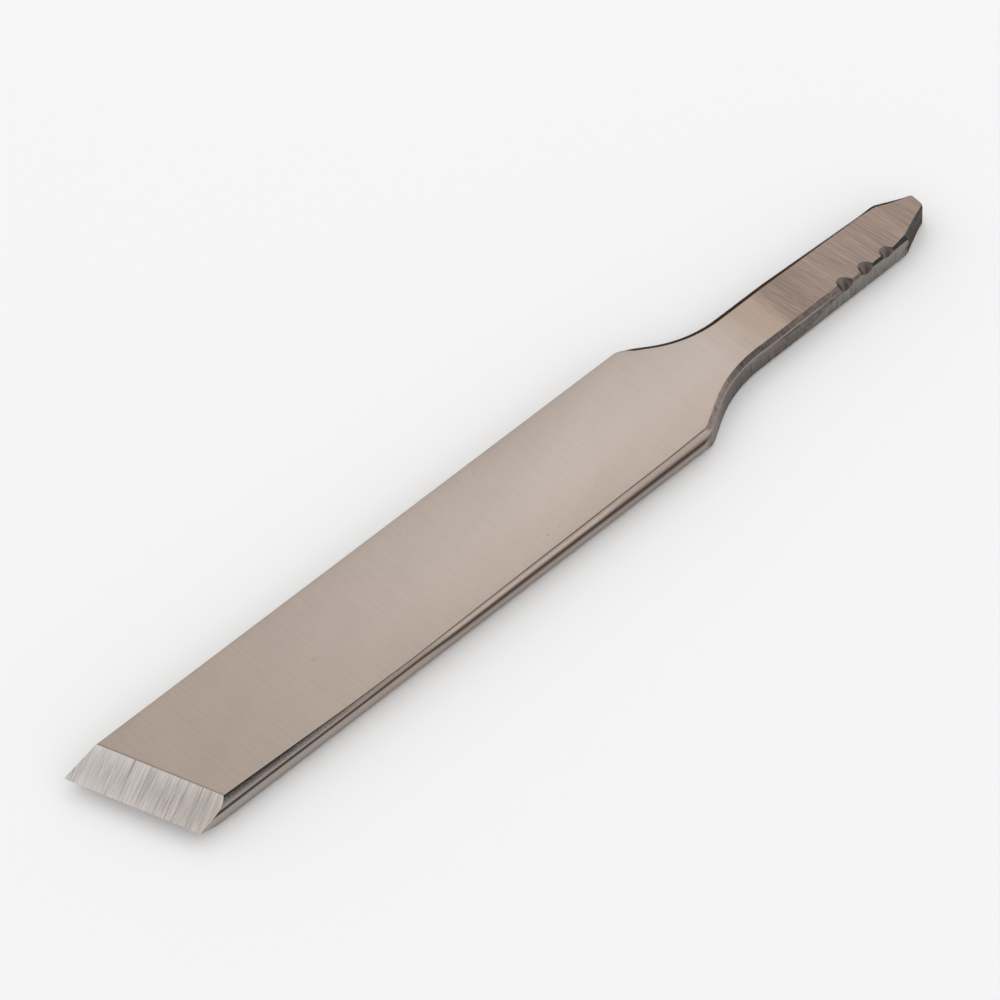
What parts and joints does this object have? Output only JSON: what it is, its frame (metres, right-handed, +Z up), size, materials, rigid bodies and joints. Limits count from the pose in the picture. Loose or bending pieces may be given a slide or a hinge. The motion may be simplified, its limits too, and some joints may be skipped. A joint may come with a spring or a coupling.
{
  "type": "woodturning skew chisel",
  "caption": "Flat woodturning chisel blade with a skewed cutting edge ground from both faces, hollow shoulders and a tapered tang for a handle.",
  "frame": {"origin": "under the middle of the chisel's overall length and width, at the height of its underside", "axes": "+X along the chisel from the cutting end to the tang, +Y towards the long-point side, +Z up through the thickness"},
  "size_m": [0.2542, 0.0318, 0.0079],
  "materials": {
    "ground_steel": "cross-ground, satin"
  },
  "bodies": {
    "root": {"skew_chisel": "ground_steel"}
  },
  "joints": []
}
